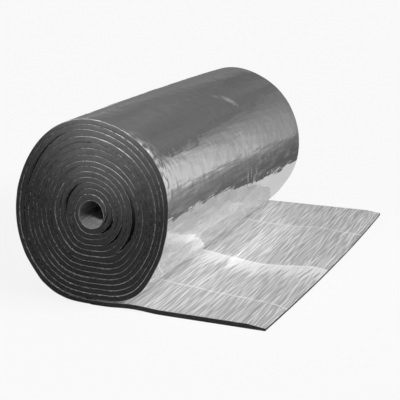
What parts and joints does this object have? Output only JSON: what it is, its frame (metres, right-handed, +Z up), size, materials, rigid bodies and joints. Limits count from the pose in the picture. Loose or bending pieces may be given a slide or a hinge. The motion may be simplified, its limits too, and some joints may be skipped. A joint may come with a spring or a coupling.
{
  "type": "insulation roll",
  "caption": "Roll of dark foam insulation sheet with a silver foil face, wound in a spiral round an open bore, its loose end lying flat on the floor.",
  "frame": {"origin": "middle of the part's footprint, on the floor", "axes": "+X towards the loose end, +Y along the roll's bore, +Z up"},
  "size_m": [0.6249, 1, 0.4],
  "materials": {
    "foam": "matte closed-cell foam",
    "foil": "bright foil with soft creases",
    "film": "satin silver film, finely wrinkled"
  },
  "bodies": {
    "root": {"foam_sheet": "foam", "roll_foil": "foil", "tail_foil": "foil", "tail_film": "film", "bore_film": "film"}
  },
  "joints": []
}
